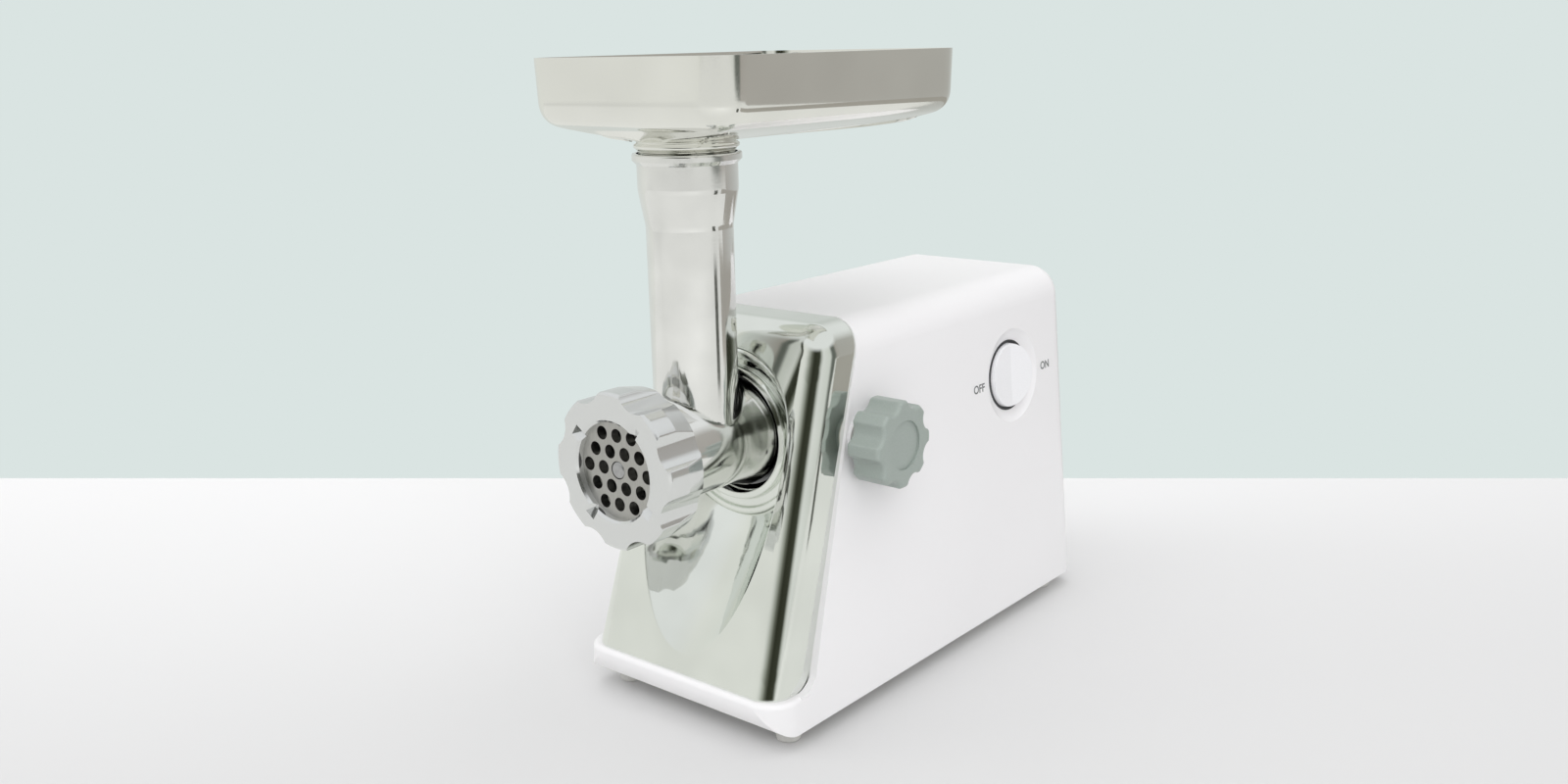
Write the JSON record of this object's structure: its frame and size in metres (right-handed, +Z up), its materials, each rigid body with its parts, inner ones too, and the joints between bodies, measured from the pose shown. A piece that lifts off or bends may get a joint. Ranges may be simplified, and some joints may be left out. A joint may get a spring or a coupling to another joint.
{
  "type": "electric meat grinder",
  "caption": "Free-standing electric meat grinder: white drafted housing, chromed front panel with a scooped pocket, cast head with screw, plate and ring nut, and a hopper tray.",
  "frame": {"origin": "on the table plane under the machine's midplane, halfway along the white housing", "axes": "+Z up, -Y towards the grinding head's outlet, +X to the side with the locking knob and the switch"},
  "size_m": [0.1619, 0.3435, 0.346],
  "materials": {
    "white_body_plastic": "gloss",
    "white_base_plastic": "satin",
    "pale_foot_rubber": "matte",
    "black_gland_rubber": "matte",
    "zinc_plated_screws": "satin",
    "chromed_panel": "mirror",
    "chromed_ring": "satin",
    "die_cast_socket": "cast",
    "grey_knob_plastic": "satin",
    "knob_nylon": "satin",
    "brass_bush": "machined",
    "stud_steel": "machined",
    "white_rocker_plastic": "satin",
    "black_switch_plastic": "matte",
    "tinned_terminals": "tinned",
    "gearbox_plastic": "matte",
    "gear_nylon": "satin",
    "gear_steel": "machined",
    "axle_steel": "ground",
    "sintered_bronze": "sintered",
    "lamination_steel": "laminated",
    "copper_windings": "varnished",
    "bracket_aluminium": "cast",
    "bearing_steel": "ground",
    "pad_rubber": "matte",
    "brush_carbon": "matte",
    "commutator_copper": "machined",
    "fan_plastic": "matte",
    "polished_aluminium": "polished",
    "plate_steel": "ground",
    "cast_feed_screw": "cast",
    "hardened_steel": "ground",
    "drive_end_nylon": "satin",
    "polished_tray": "polished"
  },
  "bodies": {
    "machine": {"housing_shell": "white_body_plastic", "base_plate": "white_base_plastic", "feet": "pale_foot_rubber", "cord_gland": "black_gland_rubber", "base_screws": "zinc_plated_screws", "foot_screws": "zinc_plated_screws", "panel_screws": "zinc_plated_screws", "socket_screws": "zinc_plated_screws", "gearbox_screws": "zinc_plated_screws", "motor_bolts": "zinc_plated_screws", "front_panel": "chromed_panel", "socket_ring": "chromed_ring", "head_socket": "die_cast_socket", "knob_bush": "brass_bush", "brush_holders": "brass_bush", "rocker_pin": "stud_steel", "switch_body": "black_switch_plastic", "switch_terminals": "tinned_terminals", "gearbox_front": "gearbox_plastic", "gearbox_rear": "gearbox_plastic", "first_axle": "axle_steel", "second_axle": "axle_steel", "front_output_bush": "sintered_bronze", "rear_output_bush": "sintered_bronze", "stator_stack": "lamination_steel", "field_coils": "copper_windings", "motor_front_bracket": "bracket_aluminium", "motor_rear_bracket": "bracket_aluminium", "front_bearing": "bearing_steel", "rear_bearing": "bearing_steel", "motor_pads": "pad_rubber", "carbon_brushes": "brush_carbon"},
    "head": {"head_casting": "polished_aluminium", "plate_pin": "stud_steel", "screw_bush": "sintered_bronze"},
    "hopper": {"hopper_tray": "polished_tray"},
    "plate": {"cutting_plate": "plate_steel"},
    "nut": {"ring_nut": "polished_aluminium"},
    "washer": {"knob_washer": "knob_nylon"},
    "knob": {"knob_grip": "grey_knob_plastic", "knob_stud": "stud_steel"},
    "rocker": {"switch_rocker": "white_rocker_plastic"},
    "rotor": {"motor_shaft": "axle_steel", "motor_pinion": "axle_steel", "armature_core": "lamination_steel", "armature_windings": "copper_windings", "commutator": "commutator_copper", "cooling_fan": "fan_plastic"},
    "first_wheel": {"first_gear": "gear_nylon"},
    "second_wheel": {"second_gear": "gear_steel"},
    "output": {"output_gear": "gear_steel", "drive_shaft": "gear_steel"},
    "screw": {"feed_screw": "cast_feed_screw", "screw_front_pin": "hardened_steel", "screw_drive_end": "drive_end_nylon", "knife": "hardened_steel"}
  },
  "joints": [
    {"name": "head_pull", "type": "slide", "parent": "machine", "child": "head", "axis": [0, -1, 0], "range_m": [0, 0.032]},
    {"name": "tray_lift", "type": "slide", "parent": "head", "child": "hopper", "axis": [0, 0, 1], "range_m": [0, 0.03]},
    {"name": "plate_travel", "type": "slide", "parent": "head", "child": "plate", "axis": [0, -1, 0], "range_m": [0, 0.009]},
    {"name": "nut_turn", "type": "hinge", "parent": "plate", "child": "nut", "pos_m": [0, -0.185, 0.149], "axis": [0, -1, 0], "range_deg": [0, 1080]},
    {"name": "knob_travel", "type": "slide", "parent": "machine", "child": "washer", "axis": [1, 0, 0], "range_m": [0, 0.00375]},
    {"name": "knob_turn", "type": "hinge", "parent": "washer", "child": "knob", "pos_m": [0.075, -0.0764, 0.149], "axis": [1, 0, 0], "range_deg": [0, 1080]},
    {"name": "rocker_tilt", "type": "hinge", "parent": "machine", "child": "rocker", "pos_m": [0.05728, 0.0755, 0.15163], "axis": [-0.066, 0, 0.9978], "range_deg": [0, 14]},
    {"name": "rotor_spin", "type": "hinge", "parent": "machine", "child": "rotor", "pos_m": [0, 0.05, 0.076], "axis": [0, 1, 0], "continuous": true},
    {"name": "first_wheel_spin", "type": "hinge", "parent": "machine", "child": "first_wheel", "pos_m": [-0.01437, 0, 0.10061], "axis": [0, 1, 0], "continuous": true},
    {"name": "second_wheel_spin", "type": "hinge", "parent": "machine", "child": "second_wheel", "pos_m": [0.022, 0, 0.10974], "axis": [0, 1, 0], "continuous": true},
    {"name": "output_spin", "type": "hinge", "parent": "machine", "child": "output", "pos_m": [0, -0.03, 0.149], "axis": [0, 1, 0], "continuous": true},
    {"name": "screw_spin", "type": "hinge", "parent": "head", "child": "screw", "pos_m": [0, -0.13, 0.149], "axis": [0, 1, 0], "continuous": true}
  ],
  "couplings": [
    {"joint": "plate_travel", "follows": "nut_turn", "m_per_rad": 0.00047746},
    {"joint": "knob_travel", "follows": "knob_turn", "m_per_rad": 0.00019894},
    {"joint": "first_wheel_spin", "follows": "rotor_spin", "ratio": -0.26667},
    {"joint": "second_wheel_spin", "follows": "rotor_spin", "ratio": 0.066667},
    {"joint": "output_spin", "follows": "rotor_spin", "ratio": -0.016667},
    {"joint": "screw_spin", "follows": "rotor_spin", "ratio": -0.016667}
  ]
}
